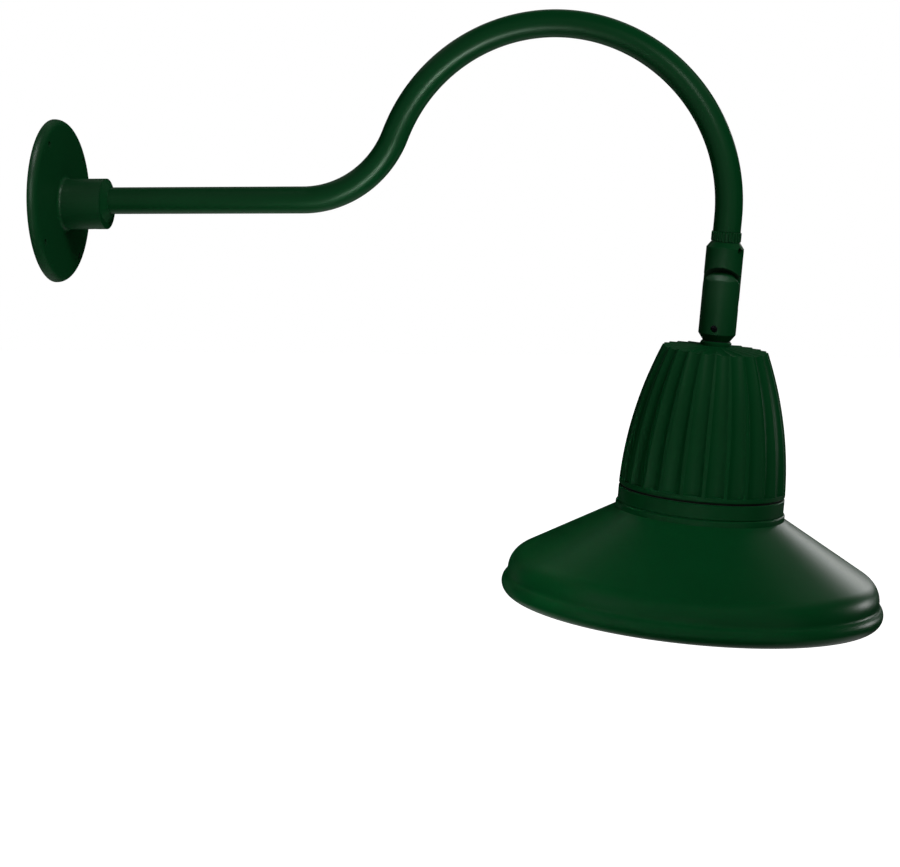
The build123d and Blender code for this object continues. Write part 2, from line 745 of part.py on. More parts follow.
# Spun shade with a rolled bead
def shade():
    c = radians(cone_deg)
    lip_r = lip_d / 2
    lip_s = shade_s + lip_h
    skirt_r = skirt_d / 2
    sh_r = skirt_r - shoulder_r
    cone_r = sh_r + shoulder_r * sin(c)
    cone_s = lip_s + (cone_r - lip_r) * tan(c)
    sh_s = cone_s + shoulder_r * cos(c)
    in_r = shoulder_r - sheet_t
    half = (c + radians(90)) / 2
    bead_c = skirt_r - bead_inset
    crease_s = sh_s + skirt_h
    crease_in = crease_r + sheet_t
    bead_s = crease_s + sqrt((bead_r + crease_r) ** 2 - (bead_inset + crease_r) ** 2)
    bead_in = bead_r - sheet_t
    join = degrees(atan2(bead_s - crease_s, bead_inset + crease_r))
    mid = (bead_end_deg - join) / 2
    end = bead_end_deg

    def on_bead(r, deg):
        return (bead_c + r * cos(radians(deg)), -bead_s - r * sin(radians(deg)))

    def on_crease(r, deg):
        return (skirt_r + crease_r - r * cos(radians(deg)), -crease_s - r * sin(radians(deg)))

    def on_shoulder(r, ang):
        return (sh_r + r * sin(ang), -sh_s + r * cos(ang))

    turn = lip_round * (1 - sin(radians(45)))
    in_turn = lip_round - sheet_t
    in_lip = lip_r - sheet_t
    in_lip_s = lip_s - sheet_t * tan(c) + sheet_t / cos(c)
    s0 = shade_s
    s1 = shade_s + sheet_t
    hole = shade_hole_d / 2
    corner = lip_r - lip_round
    in_mid = (corner + in_turn * sin(radians(45)), -s0 - lip_round + in_turn * sin(radians(45)))
    edges = [
        Line((hole, -s0), (corner, -s0)),
        ThreePointArc((corner, -s0), (lip_r - turn, -s0 - turn), (lip_r, -s0 - lip_round)),
        Line((lip_r, -s0 - lip_round), (lip_r, -lip_s)),
        Line((lip_r, -lip_s), (cone_r, -cone_s)),
        ThreePointArc((cone_r, -cone_s), on_shoulder(shoulder_r, half), (skirt_r, -sh_s)),
        Line((skirt_r, -sh_s), (skirt_r, -crease_s)),
        ThreePointArc((skirt_r, -crease_s), on_crease(crease_r, join / 2), on_crease(crease_r, join)),
        ThreePointArc(on_crease(crease_r, join), on_bead(bead_r, mid), on_bead(bead_r, end)),
        Line(on_bead(bead_r, end), on_bead(bead_in, end)),
        ThreePointArc(on_bead(bead_in, end), on_bead(bead_in, mid), on_crease(crease_in, join)),
        ThreePointArc(on_crease(crease_in, join), on_crease(crease_in, join / 2), on_crease(crease_in, 0)),
        Line(on_crease(crease_in, 0), (skirt_r - sheet_t, -sh_s)),
        ThreePointArc((skirt_r - sheet_t, -sh_s), on_shoulder(in_r, half), on_shoulder(in_r, c)),
        Line(on_shoulder(in_r, c), (in_lip, -in_lip_s)),
        Line((in_lip, -in_lip_s), (in_lip, -s0 - lip_round)),
        ThreePointArc((in_lip, -s0 - lip_round), in_mid, (corner, -s1)),
        Line((corner, -s1), (hole, -s1)),
        Line((hole, -s1), (hole, -s0)),
    ]
    body = revolve(Plane.XZ * make_face(edges), axis=Axis.Z)
    for k in range(ring_screw_count):
        body -= bored(screw_hole_d, screw_circle_d, s0 - over_cut, s1 + over_cut, ring_screw_deg(k))
    return body


pieces["shade"] = HEAD * shade()

os.makedirs("parts", exist_ok=True)
for name, shape in pieces.items():
    shape.label = name
    export_step(shape, f"parts/{name}.step")
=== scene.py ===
import json
from math import atan2, cos, pi, radians, sin, sqrt, tan

import bmesh
import bpy
from mathutils import Matrix, Quaternion, Vector


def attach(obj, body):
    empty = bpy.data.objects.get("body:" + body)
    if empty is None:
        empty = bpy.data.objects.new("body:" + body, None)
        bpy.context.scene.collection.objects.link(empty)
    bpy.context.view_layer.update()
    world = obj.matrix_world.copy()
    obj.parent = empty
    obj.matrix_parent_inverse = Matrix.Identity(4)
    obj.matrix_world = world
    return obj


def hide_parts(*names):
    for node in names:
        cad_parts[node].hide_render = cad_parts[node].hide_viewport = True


bl_info = {
    "name": "Gooseneck barn light",
    "version": (1, 0, 0),
    "blender": (4, 5, 0),
    "location": "3D View > Sidebar > Barn Light",
    "description": "Dresses the packed gooseneck barn light and sets its studio",
    "category": "Object",
}

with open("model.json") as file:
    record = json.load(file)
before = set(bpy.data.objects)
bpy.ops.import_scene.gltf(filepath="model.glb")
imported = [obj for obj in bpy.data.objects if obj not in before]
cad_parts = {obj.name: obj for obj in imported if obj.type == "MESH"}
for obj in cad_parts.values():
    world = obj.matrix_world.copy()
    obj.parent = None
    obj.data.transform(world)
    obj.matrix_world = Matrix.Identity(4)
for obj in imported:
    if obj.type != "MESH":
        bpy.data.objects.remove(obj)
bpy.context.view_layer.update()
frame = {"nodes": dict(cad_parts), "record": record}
NODES = frame["nodes"]
MM = 0.001

# Facets of the tube and the shade
TUBE_SIDES = 64
RUN_STEPS = 6
BEND_STEPS = 40
HOOK_STEPS = 120
SHADE_SIDES = 192
LIP_STEPS = 6
CONE_STEPS = 8
SHOULDER_STEPS = 14
CREASE_STEPS = 8
BEAD_STEPS = 44
SHARP_ANGLE = radians(35)

# The studio, in metres; the sensor in millimetres
FLOOR_SIZE = (60, 60)
LEVEL = Matrix.Identity(3)
GLEAM_DISTANCE = 1.2
GLEAM_SIZE = (0.25, 0.25)
SENSOR_WIDTH = 36.0
CLIP_END = 200.0


def linear(code):
    """An sRGB hex value as linear red, green, blue and alpha."""
    parts = [int(code[i:i + 2], 16) / 255 for i in (0, 2, 4)]
    flat = (c / 12.92 if c <= 0.04045 else ((c + 0.055) / 1.055) ** 2.4 for c in parts)
    return (*flat, 1.0)


def node(tree, kind, inputs=(), links=(), **settings):
    """Adds one shader node with its settings, fixed inputs and links."""
    made = tree.nodes.new(kind)
    for key, value in settings.items():
        setattr(made, key, value)
    for key, value in dict(inputs).items():
        made.inputs[key].default_value = value
    for key, source in dict(links).items():
        tree.links.new(source, made.inputs[key])
    return made


def per_mm(size):
    """Texture scale for a pattern of that size in millimetres."""
    return 1000.0 / size


class CoatSettings(bpy.types.PropertyGroup):
    """Colours and finish of the powder coat and the enamel."""

    green: bpy.props.FloatVectorProperty(
        name="Coat colour", description="Dark forest green powder coat",
        subtype="COLOR", size=4, min=0, max=1, default=linear("043216"))
    green_deep: bpy.props.FloatVectorProperty(
        name="Coat shade", description="Slightly deeper green in the coat's slow mottling",
        subtype="COLOR", size=4, min=0, max=1, default=linear("032C12"))
    white: bpy.props.FloatVectorProperty(
        name="Enamel colour", description="White enamel inside the shade",
        subtype="COLOR", size=4, min=0, max=1, default=linear("EDEDE8"))
    white_warm: bpy.props.FloatVectorProperty(
        name="Enamel shade", description="Slightly warmer white in the enamel",
        subtype="COLOR", size=4, min=0, max=1, default=linear("E6E5DE"))
    shine: bpy.props.FloatProperty(
        name="Coat shine", description="Strength of the powder coat's reflection",
        subtype="FACTOR", min=0, max=1, default=0.04)
    roughness: bpy.props.FloatProperty(
        name="Coat roughness", description="Satin finish of the powder coat on tube and sheet",
        subtype="FACTOR", min=0, max=1, default=0.33)
    cast_roughness: bpy.props.FloatProperty(
        name="Casting roughness", description="Duller finish of the powder coat on castings",
        subtype="FACTOR", min=0, max=1, default=0.44)
    peel: bpy.props.FloatProperty(
        name="Orange peel", description="Width of the coat's fine ripple, in millimetres",
        min=0.2, max=5, default=1.6)
    cast_peel: bpy.props.FloatProperty(
        name="Casting peel", description="Width of the ripple on castings, as a share of the rest",
        min=0.2, max=5, default=0.8)


class ShadeSettings(bpy.types.PropertyGroup):
    """Sizes of the spun shade, measured in the housing's own frame."""

    top: bpy.props.FloatProperty(
        name="Top station", description="Shade's top below the arm's end",
        subtype="DISTANCE", unit="LENGTH", default=269.0 * MM)
    hole: bpy.props.FloatProperty(
        name="Hole radius", description="Hole around the lens",
        subtype="DISTANCE", unit="LENGTH", default=70.0 * MM)
    lip: bpy.props.FloatProperty(
        name="Lip radius", description="Raised lip under the collar",
        subtype="DISTANCE", unit="LENGTH", default=82.6 * MM)
    lip_height: bpy.props.FloatProperty(
        name="Lip height", description="Height of the raised lip",
        subtype="DISTANCE", unit="LENGTH", default=6.0 * MM)
    lip_round: bpy.props.FloatProperty(
        name="Lip rounding", description="Radius of the lip's upper edge",
        subtype="DISTANCE", unit="LENGTH", default=1.6 * MM)
    slope: bpy.props.FloatProperty(
        name="Cone slope", description="Fall of the cone below level",
        subtype="ANGLE", unit="ROTATION", default=radians(30.1))
    skirt: bpy.props.FloatProperty(
        name="Skirt radius", description="Outside of the shoulder above the bead",
        subtype="DISTANCE", unit="LENGTH", default=182.1 * MM)
    shoulder: bpy.props.FloatProperty(
        name="Shoulder radius", description="Round from the cone to the skirt",
        subtype="DISTANCE", unit="LENGTH", default=23.0 * MM)
    skirt_height: bpy.props.FloatProperty(
        name="Skirt height", description="Straight skirt between the shoulder and the crease",
        subtype="DISTANCE", unit="LENGTH", default=1.0 * MM)
    crease: bpy.props.FloatProperty(
        name="Crease radius", description="Hollow round between the skirt and the bead",
        subtype="DISTANCE", unit="LENGTH", default=5.0 * MM)
    bead: bpy.props.FloatProperty(
        name="Bead radius", description="Radius of the rolled edge",
        subtype="DISTANCE", unit="LENGTH", default=10.7 * MM)
    bead_inset: bpy.props.FloatProperty(
        name="Bead inset", description="Bead's centre inside the skirt",
        subtype="DISTANCE", unit="LENGTH", default=5.7 * MM)
    bead_end: bpy.props.FloatProperty(
        name="Roll angle", description="How far the edge is rolled, from the outside",
        subtype="ANGLE", unit="ROTATION", default=radians(250))
    sheet: bpy.props.FloatProperty(
        name="Sheet", description="Thickness of the spun sheet",
        subtype="DISTANCE", unit="LENGTH", default=1.5 * MM)


class ArmSettings(bpy.types.PropertyGroup):
    """Sizes of the bent tube."""

    start: bpy.props.FloatProperty(
        name="Socket floor", description="Tube's start inside the hub",
        subtype="DISTANCE", unit="LENGTH", default=14.0 * MM)
    tube: bpy.props.FloatProperty(
        name="Tube radius", description="Outside radius of the tube",
        subtype="DISTANCE", unit="LENGTH", default=13.45 * MM)
    wall: bpy.props.FloatProperty(
        name="Tube wall", description="Wall of the tube",
        subtype="DISTANCE", unit="LENGTH", default=2.6 * MM)
    run: bpy.props.FloatProperty(
        name="Run", description="Wall to the first bend",
        subtype="DISTANCE", unit="LENGTH", default=259.8 * MM)
    bend1: bpy.props.FloatProperty(
        name="First bend", description="Radius of the upward bend",
        subtype="DISTANCE", unit="LENGTH", default=102.7 * MM)
    turn1: bpy.props.FloatProperty(
        name="First turn", description="Angle of the upward bend",
        subtype="ANGLE", unit="ROTATION", default=radians(67.6))
    bend2: bpy.props.FloatProperty(
        name="Hook", description="Radius of the hook",
        subtype="DISTANCE", unit="LENGTH", default=170.8 * MM)
    lean: bpy.props.FloatProperty(
        name="Lean", description="Lean of the arm's end past plumb",
        subtype="ANGLE", unit="ROTATION", default=radians(5.6))
    drop: bpy.props.FloatProperty(
        name="Drop", description="Straight end of the arm",
        subtype="DISTANCE", unit="LENGTH", default=13.4 * MM)

    def joints(self):
        """End of the first bend, centre of the hook, its end and the arm's end, in X-Z."""
        first = Vector((self.run, 0))
        first += self.bend1 * Vector((sin(self.turn1), 1 - cos(self.turn1)))
        hook = first + self.bend2 * Vector((sin(self.turn1), -cos(self.turn1)))
        second = hook + self.bend2 * Vector((cos(self.lean), -sin(self.lean)))
        end = second - self.drop * Vector((sin(self.lean), cos(self.lean)))
        return first, hook, second, end

    def head(self):
        """The housing's frame: origin at the arm's end, its axis along +Z."""
        end = self.joints()[3]
        return Matrix.Translation((end.x, 0, end.y)) @ Matrix.Rotation(self.lean, 4, "Y")


class StudioSettings(bpy.types.PropertyGroup):
    """Camera and light of the plain studio."""

    eye: bpy.props.FloatVectorProperty(
        name="Camera", description="Camera's place", subtype="XYZ",
        unit="LENGTH", default=(0.996665, -2.657667, 0.116077))
    target: bpy.props.FloatVectorProperty(
        name="Target", description="Point at the middle of the picture", subtype="XYZ",
        unit="LENGTH", default=(0.40587, 0.0, -0.23178))
    lens: bpy.props.FloatProperty(
        name="Lens", description="Focal length on a 36 mm sensor, in millimetres", default=110.6)
    roll: bpy.props.FloatProperty(
        name="Roll", description="Camera's turn about its own line of sight",
        subtype="ANGLE", unit="ROTATION", default=radians(-0.7665))
    floor: bpy.props.FloatProperty(
        name="Floor", description="Height of the floor below the wall plate",
        subtype="DISTANCE", unit="LENGTH", default=-3.2)
    fill: bpy.props.FloatProperty(
        name="Fill", description="Strength of the room's light on the object",
        min=0, max=1, default=0.22)
    key: bpy.props.FloatProperty(
        name="Key", description="Power of the key softbox, in watts", min=0, default=56)


def empty_material(name):
    """A new material without shader nodes."""
    made = bpy.data.materials.new(name)
    made.use_nodes = True
    made.node_tree.nodes.clear()
    return made


def surface(name, colours, blotch, gloss, ripple, depth, stretch=(1, 1, 1), fixed=()):
    """A finish of two close colours in slow blotches, uneven gloss and fine relief. Sizes in mm."""
    made = empty_material(name)
    t = made.node_tree
    at = node(t, "ShaderNodeTexCoord").outputs["Object"]
    slow = node(t, "ShaderNodeTexNoise", {"Scale": per_mm(blotch), "Detail": 3.0}, {"Vector": at})
    tint = node(t, "ShaderNodeMix", {"A": colours[0], "B": colours[1]},
                {"Factor": slow.outputs["Fac"]}, data_type="RGBA")
    drawn = node(t, "ShaderNodeMapping", {"Scale": stretch}, {"Vector": at})
    grain = node(t, "ShaderNodeTexNoise", {"Scale": per_mm(ripple), "Detail": 2.0},
                 {"Vector": drawn.outputs["Vector"]})
    sheen = node(t, "ShaderNodeMapRange", {"To Min": gloss[0], "To Max": gloss[1]},
                 {"Value": grain.outputs["Fac"]})
    bump = node(t, "ShaderNodeBump", {"Strength": 0.3, "Distance": depth * MM},
                {"Height": grain.outputs["Fac"]})
    shader = node(t, "ShaderNodeBsdfPrincipled", fixed,
                  {"Base Color": tint.outputs["Result"], "Roughness": sheen.outputs["Result"],
                   "Normal": bump.outputs["Normal"]})
    node(t, "ShaderNodeOutputMaterial", links={"Surface": shader.outputs[0]})
    return made


# Powder coat: polyester powder baked on metal. Satin dark green, faint ripple, slow mottling.
def powder_coat(name, roughness, peel_scale=1.0):
    s = bpy.context.scene.barn_coat
    return surface(name, (s.green, s.green_deep), blotch=60,
                   gloss=(roughness - 0.05, roughness + 0.05),
                   ripple=s.peel * peel_scale, depth=0.06, fixed={"Specular IOR Level": s.shine})


# White enamel: stoved gloss paint inside the shade. Bright, smooth, faintly uneven.
def white_enamel():
    s = bpy.context.scene.barn_coat
    return surface("white enamel", (s.white, s.white_warm), blotch=40,
                   gloss=(0.22, 0.34), ripple=2.5, depth=0.05)


# Black oxide on steel: a thin dark skin over turned metal. Near black, with a soft oily gleam.
def black_oxide():
    return surface("black oxide steel", (linear("09090B"), linear("101012")), blotch=3,
                   gloss=(0.42, 0.55), ripple=0.8, depth=0.02, fixed={"Metallic": 1.0})


# Bright zinc on steel: plated after turning. A cool pale grey with a cloudy bloom.
def bright_zinc():
    return surface("bright zinc on steel", (linear("C7C9C8"), linear("A9ACAE")), blotch=4,
                   gloss=(0.24, 0.38), ripple=0.6, depth=0.02, fixed={"Metallic": 1.0})


# Turned brass: fine tool lines round the fitting. Warm yellow, a little duller where handled.
def turned_brass():
    return surface("turned brass", (linear("C7A256"), linear("AE8A42")), blotch=6,
                   gloss=(0.20, 0.34), ripple=0.8, depth=0.02, stretch=(1, 1, 8),
                   fixed={"Metallic": 1.0})


# EPDM rubber: die-cut sheet. Matt black-grey with a fine talc bloom.
def seal_rubber():
    return surface("EPDM rubber", (linear("070707"), linear("0C0C0B")), blotch=10,
                   gloss=(0.70, 0.85), ripple=0.7, depth=0.05, fixed={"Specular IOR Level": 0.1})


# Bare aluminium: spun or rolled, then brushed. Pale grey with fine lines, drawn coarser to show.
def bare_aluminium():
    return surface("brushed aluminium", (linear("D2D4D6"), linear("BEC1C4")), blotch=12,
                   gloss=(0.22, 0.36), ripple=6.0, depth=0.02, stretch=(1, 12, 1),
                   fixed={"Metallic": 1.0})


# Polycarbonate: injection moulded with a spark-eroded texture. Matt white.
def white_polycarbonate():
    return surface("moulded polycarbonate", (linear("E2E1DC"), linear("D8D7D1")), blotch=25,
                   gloss=(0.45, 0.58), ripple=0.6, depth=0.04)


# Silicone pad: filled sheet, soft and dusty. Matt grey-blue.
def pad_silicone():
    return surface("filled silicone", (linear("8B959C"), linear("7D878F")), blotch=5,
                   gloss=(0.60, 0.75), ripple=0.5, depth=0.03)


# Solder mask: screen-printed and cured. White with a low gloss.
def solder_mask():
    return surface("white solder mask", (linear("E6E6E0"), linear("DCDCD4")), blotch=6,
                   gloss=(0.28, 0.40), ripple=1.0, depth=0.02)


# Phosphor under silicone: cast over the diodes. Yellow with a soft wet gloss.
def phosphor():
    return surface("phosphor in silicone", (linear("E3B93C"), linear("D3A62E")), blotch=3,
                   gloss=(0.18, 0.30), ripple=0.4, depth=0.03)


# Clear glass: toughened float glass. Colourless, with faint smears in its gloss.
def clear_glass():
    return surface("toughened glass", (linear("F3F8F6"), linear("EEF5F2")), blotch=30,
                   gloss=(0.02, 0.06), ripple=20.0, depth=0.01,
                   fixed={"Transmission Weight": 1.0, "IOR": 1.52})


def finish_mesh(bm, name, materials, body, *nodes):
    """Turns a bmesh into a piece that rides on a body and stands for those CAD nodes."""
    mesh = bpy.data.meshes.new(name)
    bm.to_mesh(mesh)
    bm.free()
    for m in materials:
        mesh.materials.append(m)
    made = bpy.data.objects.new(name, mesh)
    bpy.context.scene.collection.objects.link(made)
    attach(made, body)
    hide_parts(*nodes)
    return made


def sharpen(bm):
    """Smooth faces all over, with open ends and edges past the sharp angle kept sharp."""
    for face in bm.faces:
        face.smooth = True
    for edge in bm.edges:
        edge.smooth = edge.calc_face_angle(pi) < SHARP_ANGLE


def last_verts(step):
    """Points at the end of a spin."""
    return [g for g in step["geom_last"] if isinstance(g, bmesh.types.BMVert)]


def last_edges(step):
    """Edges at the end of a spin."""
    return [g for g in step["geom_last"] if isinstance(g, bmesh.types.BMEdge)]


class BARN_OT_shade(bpy.types.Operator):
    """Spins the shade's sheet, green outside and white inside"""

    bl_idname = "barn.shade"
    bl_label = "Spun Shade"

    def execute(self, context):
        s = context.scene.barn_shade
        shoulder_r = s.skirt - s.shoulder
        cone_r = shoulder_r + s.shoulder * sin(s.slope)
        lip_s = s.top + s.lip_height
        cone_s = lip_s + (cone_r - s.lip) * tan(s.slope)
        shoulder_s = cone_s + s.shoulder * cos(s.slope)
        bead_r = s.skirt - s.bead_inset
        crease_s = shoulder_s + s.skirt_height
        bead_s = crease_s + sqrt((s.bead + s.crease) ** 2 - (s.bead_inset + s.crease) ** 2)
        join = atan2(bead_s - crease_s, s.bead_inset + s.crease)
        bm = bmesh.new()

        def line_to(vert, r, station):
            new = bmesh.ops.extrude_vert_indiv(bm, verts=[vert])["verts"][0]
            new.co = (r, 0, -station)
            return new

        def round_to(vert, r, station, angle, steps):
            step = bmesh.ops.spin(bm, geom=[vert], cent=(r, 0, -station), axis=(0, 1, 0),
                                  angle=angle, steps=steps, use_merge=False)
            return last_verts(step)[0]

        # The outside's section, from the hole round the lens to the end of the rolled bead
        v = bmesh.ops.create_vert(bm, co=(s.hole, 0, -s.top))["vert"][0]
        v = line_to(v, s.lip - s.lip_round, s.top)
        v = round_to(v, s.lip - s.lip_round, s.top + s.lip_round, pi / 2, LIP_STEPS)
        v = line_to(v, s.lip, lip_s)
        for k in range(1, CONE_STEPS + 1):
            part = k / CONE_STEPS
            v = line_to(v, s.lip + (cone_r - s.lip) * part, lip_s + (cone_s - lip_s) * part)
        v = round_to(v, shoulder_r, shoulder_s, pi / 2 - s.slope, SHOULDER_STEPS)
        v = line_to(v, s.skirt, crease_s)
        v = round_to(v, s.skirt + s.crease, crease_s, -join, CREASE_STEPS)
        round_to(v, bead_r, bead_s, s.bead_end + join, BEAD_STEPS)

        bmesh.ops.spin(bm, geom=bm.verts[:] + bm.edges[:], cent=(0, 0, 0), axis=(0, 0, 1),
                       angle=2 * pi, steps=SHADE_SIDES, use_merge=True)
        bmesh.ops.remove_doubles(bm, verts=bm.verts[:], dist=1e-7)
        bmesh.ops.transform(bm, matrix=context.scene.barn_arm.head(), verts=bm.verts[:])
        bm.normal_update()
        # The largest faces are the cone's, whose outside looks up
        cone = max(bm.faces, key=lambda f: f.calc_area())
        if cone.normal.z < 0:
            bmesh.ops.reverse_faces(bm, faces=bm.faces[:])
        sharpen(bm)
        coat = powder_coat("powder coat on spun aluminium", context.scene.barn_coat.roughness)
        made = finish_mesh(bm, "spun_shade", [coat, white_enamel()], "head", "shade")
        sheet = made.modifiers.new("sheet", "SOLIDIFY")
        sheet.thickness = s.sheet
        sheet.offset = -1
        sheet.material_offset = 1
        sheet.use_even_offset = True
        return {"FINISHED"}


class BARN_OT_arm(bpy.types.Operator):
    """Bends the gooseneck tube"""

    bl_idname = "barn.arm"
    bl_label = "Gooseneck Tube"

    def execute(self, context):
        s = context.scene.barn_arm
        _, hook, second, end = s.joints()
        bm = bmesh.new()
        socket = Matrix.Translation((s.start, 0, 0)) @ Matrix.Rotation(pi / 2, 4, "Y")
        bmesh.ops.create_circle(bm, segments=TUBE_SIDES, radius=s.tube, matrix=socket)
        ring = bm.edges[:]

        def push(edges, move):
            new = bmesh.ops.extrude_edge_only(bm, edges=edges)["geom"]
            verts = [g for g in new if isinstance(g, bmesh.types.BMVert)]
            bmesh.ops.translate(bm, verts=verts, vec=move)
            return [g for g in new
                    if isinstance(g, bmesh.types.BMEdge) and all(v in verts for v in g.verts)]

        for _ in range(RUN_STEPS):
            ring = push(ring, ((s.run - s.start) / RUN_STEPS, 0, 0))
        step = bmesh.ops.spin(bm, geom=ring, cent=(s.run, 0, s.bend1), axis=(0, -1, 0),
                              angle=s.turn1, steps=BEND_STEPS, use_merge=False)
        ring = last_edges(step)
        step = bmesh.ops.spin(bm, geom=ring, cent=(hook.x, 0, hook.y), axis=(0, 1, 0),
                              angle=s.turn1 + pi / 2 + s.lean, steps=HOOK_STEPS, use_merge=False)
        ring = last_edges(step)
        push(ring, (end.x - second.x, 0, end.y - second.y))
        bmesh.ops.recalc_face_normals(bm, faces=bm.faces[:])
        sharpen(bm)
        coat = powder_coat("powder coat on steel tube", context.scene.barn_coat.roughness)
        made = finish_mesh(bm, "bent_tube", [coat], "base", "gooseneck_arm")
        wall = made.modifiers.new("wall", "SOLIDIFY")
        wall.thickness = s.wall
        wall.offset = -1
        return {"FINISHED"}


def dress(slots):
    """Gives each CAD node that has one of these slots the slot's finish."""
    for row in frame["record"]["subparts"]:
        if row["material_slot"] in slots:
            mesh = NODES[row["node"]].data
            mesh.materials.clear()
            mesh.materials.append(slots[row["material_slot"]])


class BARN_OT_castings(bpy.types.Operator):
    """Gives the castings their powder coat"""

    bl_idname = "barn.castings"
    bl_label = "Coated Castings"

    def execute(self, context):
        s = context.scene.barn_coat
        coat = powder_coat("powder coat on die-cast aluminium", s.cast_roughness, s.cast_peel)
        dress({"coated_casting": coat})
        return {"FINISHED"}


class BARN_OT_fittings(bpy.types.Operator):
    """Gives the screws, nipples and seals their finishes"""

    bl_idname = "barn.fittings"
    bl_label = "Screws and Seals"

    def execute(self, context):
        dress({"black_steel": black_oxide(), "zinc_steel": bright_zinc(),
               "brass_fitting": turned_brass(), "seal_rubber": seal_rubber()})
        return {"FINISHED"}


class BARN_OT_lamp(bpy.types.Operator):
    """Gives the light engine under the lens its finishes"""

    bl_idname = "barn.lamp"
    bl_label = "Light Engine"

    def execute(self, context):
        dress({"bare_aluminium": bare_aluminium(), "white_plastic": white_polycarbonate(),
               "pad_silicone": pad_silicone(), "board_mask": solder_mask(),
               "phosphor": phosphor(), "clear_glass": clear_glass()})
        return {"FINISHED"}


def background_ray(t):
    """1 for what the camera sees, in gloss and through glass too, and 0 for light on the object."""
    ray = node(t, "ShaderNodeLightPath")
    seen = ray.outputs["Is Camera Ray"]
    for kind in ("Is Glossy Ray", "Is Transmission Ray"):
        most = node(t, "ShaderNodeMath", links={0: seen, 1: ray.outputs[kind]},
                    operation="MAXIMUM")
        seen = most.outputs[0]
    return seen


def pale_room(fill):
    """A world that looks white and lights the object at that strength."""
    world = bpy.data.worlds.new("pale room")
    world.use_nodes = True
    t = world.node_tree
    t.nodes.clear()
    dim = node(t, "ShaderNodeBackground", {"Color": linear("FFFFFF"), "Strength": fill})
    white = node(t, "ShaderNodeBackground", {"Color": linear("FFFFFF"), "Strength": 1.0})
    mix = node(t, "ShaderNodeMixShader",
               links={0: background_ray(t), 1: dim.outputs[0], 2: white.outputs[0]})
    node(t, "ShaderNodeOutputWorld", links={"Surface": mix.outputs[0]})
    return world


# Floor paint: matt and off-white. It looks white from the camera.
def floor_paint():
    made = empty_material("pale floor paint")
    t = made.node_tree
    paint = node(t, "ShaderNodeBsdfDiffuse", {"Color": linear("F2F2F0")})
    glow = node(t, "ShaderNodeEmission", {"Color": linear("FFFFFF")},
                {"Strength": background_ray(t)})
    both = node(t, "ShaderNodeAddShader", links={0: paint.outputs[0], 1: glow.outputs[0]})
    node(t, "ShaderNodeOutputMaterial", links={"Surface": both.outputs[0]})
    return made


# Black velvet: cloth over the studio's flags. Deep matt black.
def black_velvet():
    made = empty_material("black velvet")
    t = made.node_tree
    cloth = node(t, "ShaderNodeBsdfDiffuse", {"Color": linear("101010")})
    node(t, "ShaderNodeOutputMaterial", links={"Surface": cloth.outputs[0]})
    return made


def stage_card(name, size, turn, place, material):
    """A flat card for the studio, linked to the scene on its own."""
    bm = bmesh.new()
    bmesh.ops.create_grid(bm, x_segments=1, y_segments=1, size=0.5)
    bmesh.ops.scale(bm, verts=bm.verts[:], vec=(*size, 1))
    bmesh.ops.rotate(bm, verts=bm.verts[:], matrix=turn)
    bmesh.ops.translate(bm, verts=bm.verts[:], vec=place)
    mesh = bpy.data.meshes.new(name)
    bm.to_mesh(mesh)
    bm.free()
    mesh.materials.append(material)
    card = bpy.data.objects.new(name, mesh)
    bpy.context.scene.collection.objects.link(card)
    return card


def softbox(name, place, aim, size, power, spread=pi, lights=True, gleams=True):
    """A lamp that the camera doesn't see. It lights the object, shows in its gloss, or both."""
    lamp = bpy.data.lights.new(name, "AREA")
    lamp.shape = "RECTANGLE"
    lamp.size, lamp.size_y = size
    lamp.energy = power
    lamp.spread = spread
    box = bpy.data.objects.new(name, lamp)
    box.location = place
    box.rotation_euler = (Vector(aim) - Vector(place)).to_track_quat("-Z", "Y").to_euler()
    box.visible_diffuse = lights
    box.visible_glossy = gleams
    box.visible_camera = False
    bpy.context.scene.collection.objects.link(box)


def gleam(name, aim, towards, power, spread, distance=GLEAM_DISTANCE, size=GLEAM_SIZE):
    """A small lamp that shows in the gloss where it is aimed and lights nothing else."""
    place = Vector(aim) + distance * Vector(towards).normalized()
    softbox(name, place, aim, size, power, spread, lights=False)


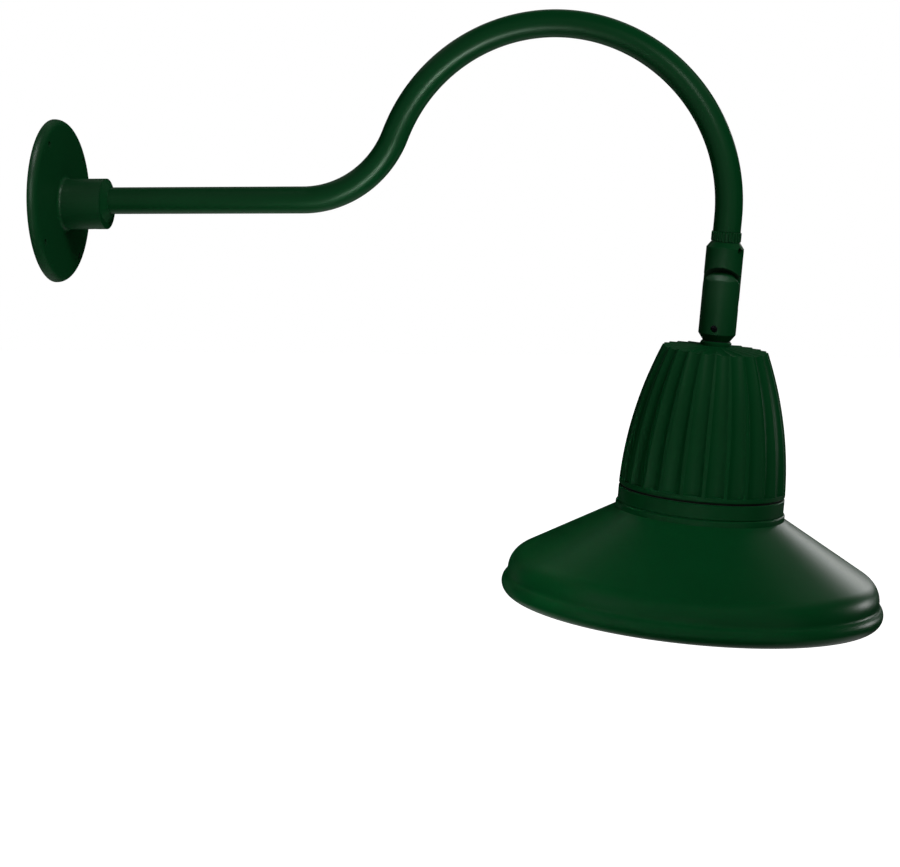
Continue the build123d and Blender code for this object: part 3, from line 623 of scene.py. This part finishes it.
def hang_lamps(key):
    """Soft lamps that light the object, then the lamps for the highlights in its coat."""
    middle = (0.5, 0, -0.2)
    softbox("key softbox", (2.0, -1.6, 1.7), middle, (0.8, 0.8), key, gleams=False)
    softbox("top softbox", (0.4, 0.2, 2.0), middle, (1.2, 1.2), 4, gleams=False)
    softbox("rear softbox", (-0.2, 2.6, 0.5), middle, (1.2, 1.2), 16, gleams=False)
    softbox("low softbox", (0.3, -0.75, -1.25), (0.3, 0, 0.1), (0.4, 0.4), 0.6, radians(30),
            gleams=False)
    softbox("left softbox", (-0.6, -1.3, 0.3), (0.46, -0.12, -0.42), (0.3, 0.3), 0.3, radians(14),
            gleams=False)

    # The broad highlight down the right of the shade
    softbox("back softbox", (1.22, 1.5, 0.06), (0.81, 0, -0.37), (0.5, 0.65), 0.15, radians(25))
    wide, narrow, beam = radians(40), radians(22), radians(8)
    gleam("hook's left gleam", (0.42, 0, 0.13), (0.20, -0.82, -0.54), 1.5, wide)
    gleam("hook's right gleam", (0.65, 0, 0.108), (0.36, -0.83, 0.40), 0.4, wide)
    gleam("first bend's gleam", (0.303, 0, 0.004), (0.05, -0.82, -0.56), 0.6, wide)
    gleam("plate's gleam", (0.005, -0.07, 0.045), (0.32, -0.34, 0.88), 2.2, wide)
    gleam("hub's gleam", (0.013, -0.025, 0), (0.36, -0.89, 0.28), 0.6, narrow)
    gleam("bead's gleam", (0.82, 0, -0.40), (0.66, 0.73, 0.10), 0.07, narrow)
    # Close and thin, so that it passes the swivel's upper half
    gleam("knuckle's gleam", (0.68, -0.0175, -0.0765), (0, -0.5, 0.87), 0.035, beam,
          distance=0.12, size=(0.05, 0.02))


def hang_flags():
    """Black flags, unseen by the camera, that keep the white room out of the coat's gloss."""
    velvet = black_velvet()

    def flag(name, size, turn, place, shades=False):
        card = stage_card(name, size, turn, place, velvet)
        card.visible_camera = False
        card.visible_diffuse = shades
        card.visible_shadow = shades

    upright = Matrix.Rotation(pi / 2, 3, "X")
    sideways = Matrix.Rotation(pi / 2, 3, "Y")
    flag("back flag", (3.6, 2.6), upright, (0.6, 1.6, -0.1))
    flag("left flag", (2.6, 2.4), sideways, (-1.2, 0.3, -0.1), shades=True)
    flag("right flag", (2.6, 2.2), sideways, (2.4, 0.5, -0.1))
    flag("top flag", (3.6, 3.6), LEVEL, (0.5, 0, 2.2))
    flag("low flag", (3.6, 2.8), LEVEL, (0.5, -1.7, -1.5))


def photo_camera(s):
    """The camera at the photograph's viewing angle."""
    data = bpy.data.cameras.new("photo camera")
    data.sensor_fit = "HORIZONTAL"
    data.sensor_width = SENSOR_WIDTH
    data.lens = s.lens
    data.clip_end = CLIP_END
    camera = bpy.data.objects.new("photo camera", data)
    eye = Vector(s.eye)
    look = (Vector(s.target) - eye).to_track_quat("-Z", "Y")
    camera.location = eye
    camera.rotation_euler = (look @ Quaternion((0, 0, 1), s.roll)).to_euler()
    bpy.context.scene.collection.objects.link(camera)
    return camera


class BARN_OT_studio(bpy.types.Operator):
    """Sets the floor, the light and the camera"""

    bl_idname = "barn.studio"
    bl_label = "Plain Studio"

    def execute(self, context):
        scene = context.scene
        s = scene.barn_studio
        scene.view_settings.view_transform = "Standard"
        scene.world = pale_room(s.fill)
        stage_card("floor", FLOOR_SIZE, LEVEL, (0, 0, s.floor), floor_paint())
        hang_lamps(s.key)
        hang_flags()
        scene.camera = photo_camera(s)
        return {"FINISHED"}


class BARN_PT_panel(bpy.types.Panel):
    """Lists the barn light's pieces"""

    bl_idname = "BARN_PT_panel"
    bl_label = "Barn Light"
    bl_space_type = "VIEW_3D"
    bl_region_type = "UI"
    bl_category = "Barn Light"

    def draw(self, context):
        for made in OPERATORS:
            self.layout.operator(made.bl_idname)


SETTINGS = {
    "barn_coat": CoatSettings,
    "barn_shade": ShadeSettings,
    "barn_arm": ArmSettings,
    "barn_studio": StudioSettings,
}
OPERATORS = (BARN_OT_arm, BARN_OT_castings, BARN_OT_fittings, BARN_OT_lamp, BARN_OT_shade,
             BARN_OT_studio)
CLASSES = tuple(SETTINGS.values()) + OPERATORS + (BARN_PT_panel,)


def register():
    for made in CLASSES:
        bpy.utils.register_class(made)
    for name, made in SETTINGS.items():
        setattr(bpy.types.Scene, name, bpy.props.PointerProperty(type=made))


def unregister():
    for name in SETTINGS:
        delattr(bpy.types.Scene, name)
    for made in reversed(CLASSES):
        bpy.utils.unregister_class(made)


def main():
    register()
    bpy.ops.barn.arm()
    bpy.ops.barn.castings()
    bpy.ops.barn.fittings()
    bpy.ops.barn.lamp()
    bpy.ops.barn.shade()
    bpy.ops.barn.studio()
    bpy.context.view_layer.update()


if __name__ == "__main__":
    main()
